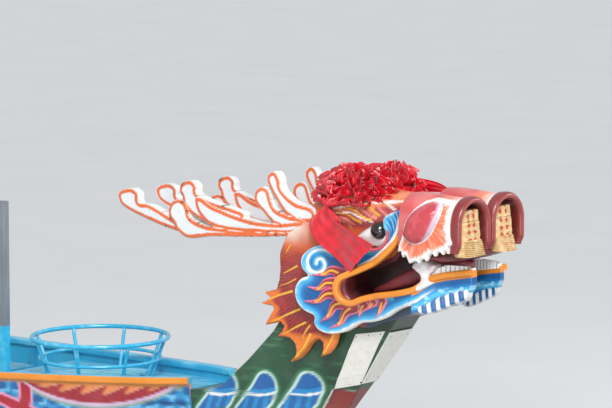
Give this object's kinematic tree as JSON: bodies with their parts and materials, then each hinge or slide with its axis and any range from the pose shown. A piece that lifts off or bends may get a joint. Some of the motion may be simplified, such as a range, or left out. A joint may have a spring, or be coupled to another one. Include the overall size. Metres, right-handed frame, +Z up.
{
  "type": "dragon boat",
  "caption": "Traditional wooden dragon boat: open planked hull with benches and decks, carved dragon head on a raked neck, carved tail, guard ring and a swivelling steering oar.",
  "frame": {"origin": "amidships on the centre plane, at the waterline", "axes": "+X to the bow, +Y to port, +Z up"},
  "size_m": [14.0844, 1.6438, 2.2494],
  "materials": {
    "hull_paint": "gloss paint over planking, with scales and bands",
    "neck_paint": "gloss paint, worn",
    "keel_paint": "gloss paint",
    "deck_paint": "gloss paint, scuffed",
    "bench_paint": "gloss paint, scuffed",
    "ring_paint": "gloss paint on steel tube",
    "post_steel": "weathered",
    "carving_paint": "gloss paint over carving",
    "snout_paint": "gloss paint over carving",
    "bulge_paint": "gloss paint",
    "cheek_paint": "gloss paint over carving",
    "lip_paint": "gloss paint",
    "fin_paint": "gloss paint over carving",
    "mane_paint": "gloss paint over carving, weathered",
    "eye_paint": "gloss",
    "tooth_paint": "gloss paint",
    "tongue_paint": "gloss paint",
    "satin": "satin sheen",
    "paper": "folded coarse paper",
    "plate": "blank painted plate",
    "oar_wood": "varnished",
    "lock_steel": "galvanised"
  },
  "bodies": {
    "boat": {"bottom_planks": "hull_paint", "side_planks_starboard": "hull_paint", "side_planks_port": "hull_paint", "neck": "neck_paint", "tail": "neck_paint", "keel": "keel_paint", "foredeck": "deck_paint", "aftdeck": "deck_paint", "gunwale_starboard": "deck_paint", "gunwale_port": "deck_paint", "floor_slats": "deck_paint", "bench_1": "bench_paint", "bench_2": "bench_paint", "bench_3": "bench_paint", "bench_4": "bench_paint", "bench_5": "bench_paint", "bench_6": "bench_paint", "bench_7": "bench_paint", "bench_8": "bench_paint", "bench_9": "bench_paint", "ribs_starboard": "bench_paint", "ribs_port": "bench_paint", "guard_ring": "ring_paint", "ring_panel": "ring_paint", "deck_post": "post_steel", "head_core": "carving_paint", "snout_starboard": "snout_paint", "snout_port": "snout_paint", "bulge_starboard": "bulge_paint", "bulge_port": "bulge_paint", "cheek_starboard": "cheek_paint", "cheek_port": "cheek_paint", "jaw": "cheek_paint", "lip_starboard": "lip_paint", "lip_port": "lip_paint", "fin_starboard": "fin_paint", "fin_port": "fin_paint", "mane_starboard": "mane_paint", "mane_port": "mane_paint", "eye_starboard": "eye_paint", "eye_port": "eye_paint", "teeth_starboard": "tooth_paint", "teeth_port": "tooth_paint", "jaw_ribs_starboard": "tooth_paint", "jaw_ribs_port": "tooth_paint", "tongue": "tongue_paint", "rosette_starboard": "satin", "rosette_port": "satin", "ribbon_starboard": "satin", "ribbon_port": "satin", "paper_starboard": "paper", "paper_port": "paper", "plate_front": "plate", "plate_starboard": "plate", "plate_port": "plate", "oar_bracket": "oar_wood"},
    "oarlock": {"oarlock": "lock_steel"},
    "steering_oar": {"steering_oar": "oar_wood"}
  },
  "joints": [
    {"name": "oarlock_yaw", "type": "hinge", "parent": "boat", "child": "oarlock", "pos_m": [-4.95, 0.64, 0.6142], "axis": [0, 0, 1], "range_deg": [-35, 15]},
    {"name": "oar_tilt", "type": "hinge", "parent": "oarlock", "child": "steering_oar", "pos_m": [-4.95, 0.64, 0.7092], "axis": [0, 1, 0], "range_deg": [-6, 22]}
  ]
}
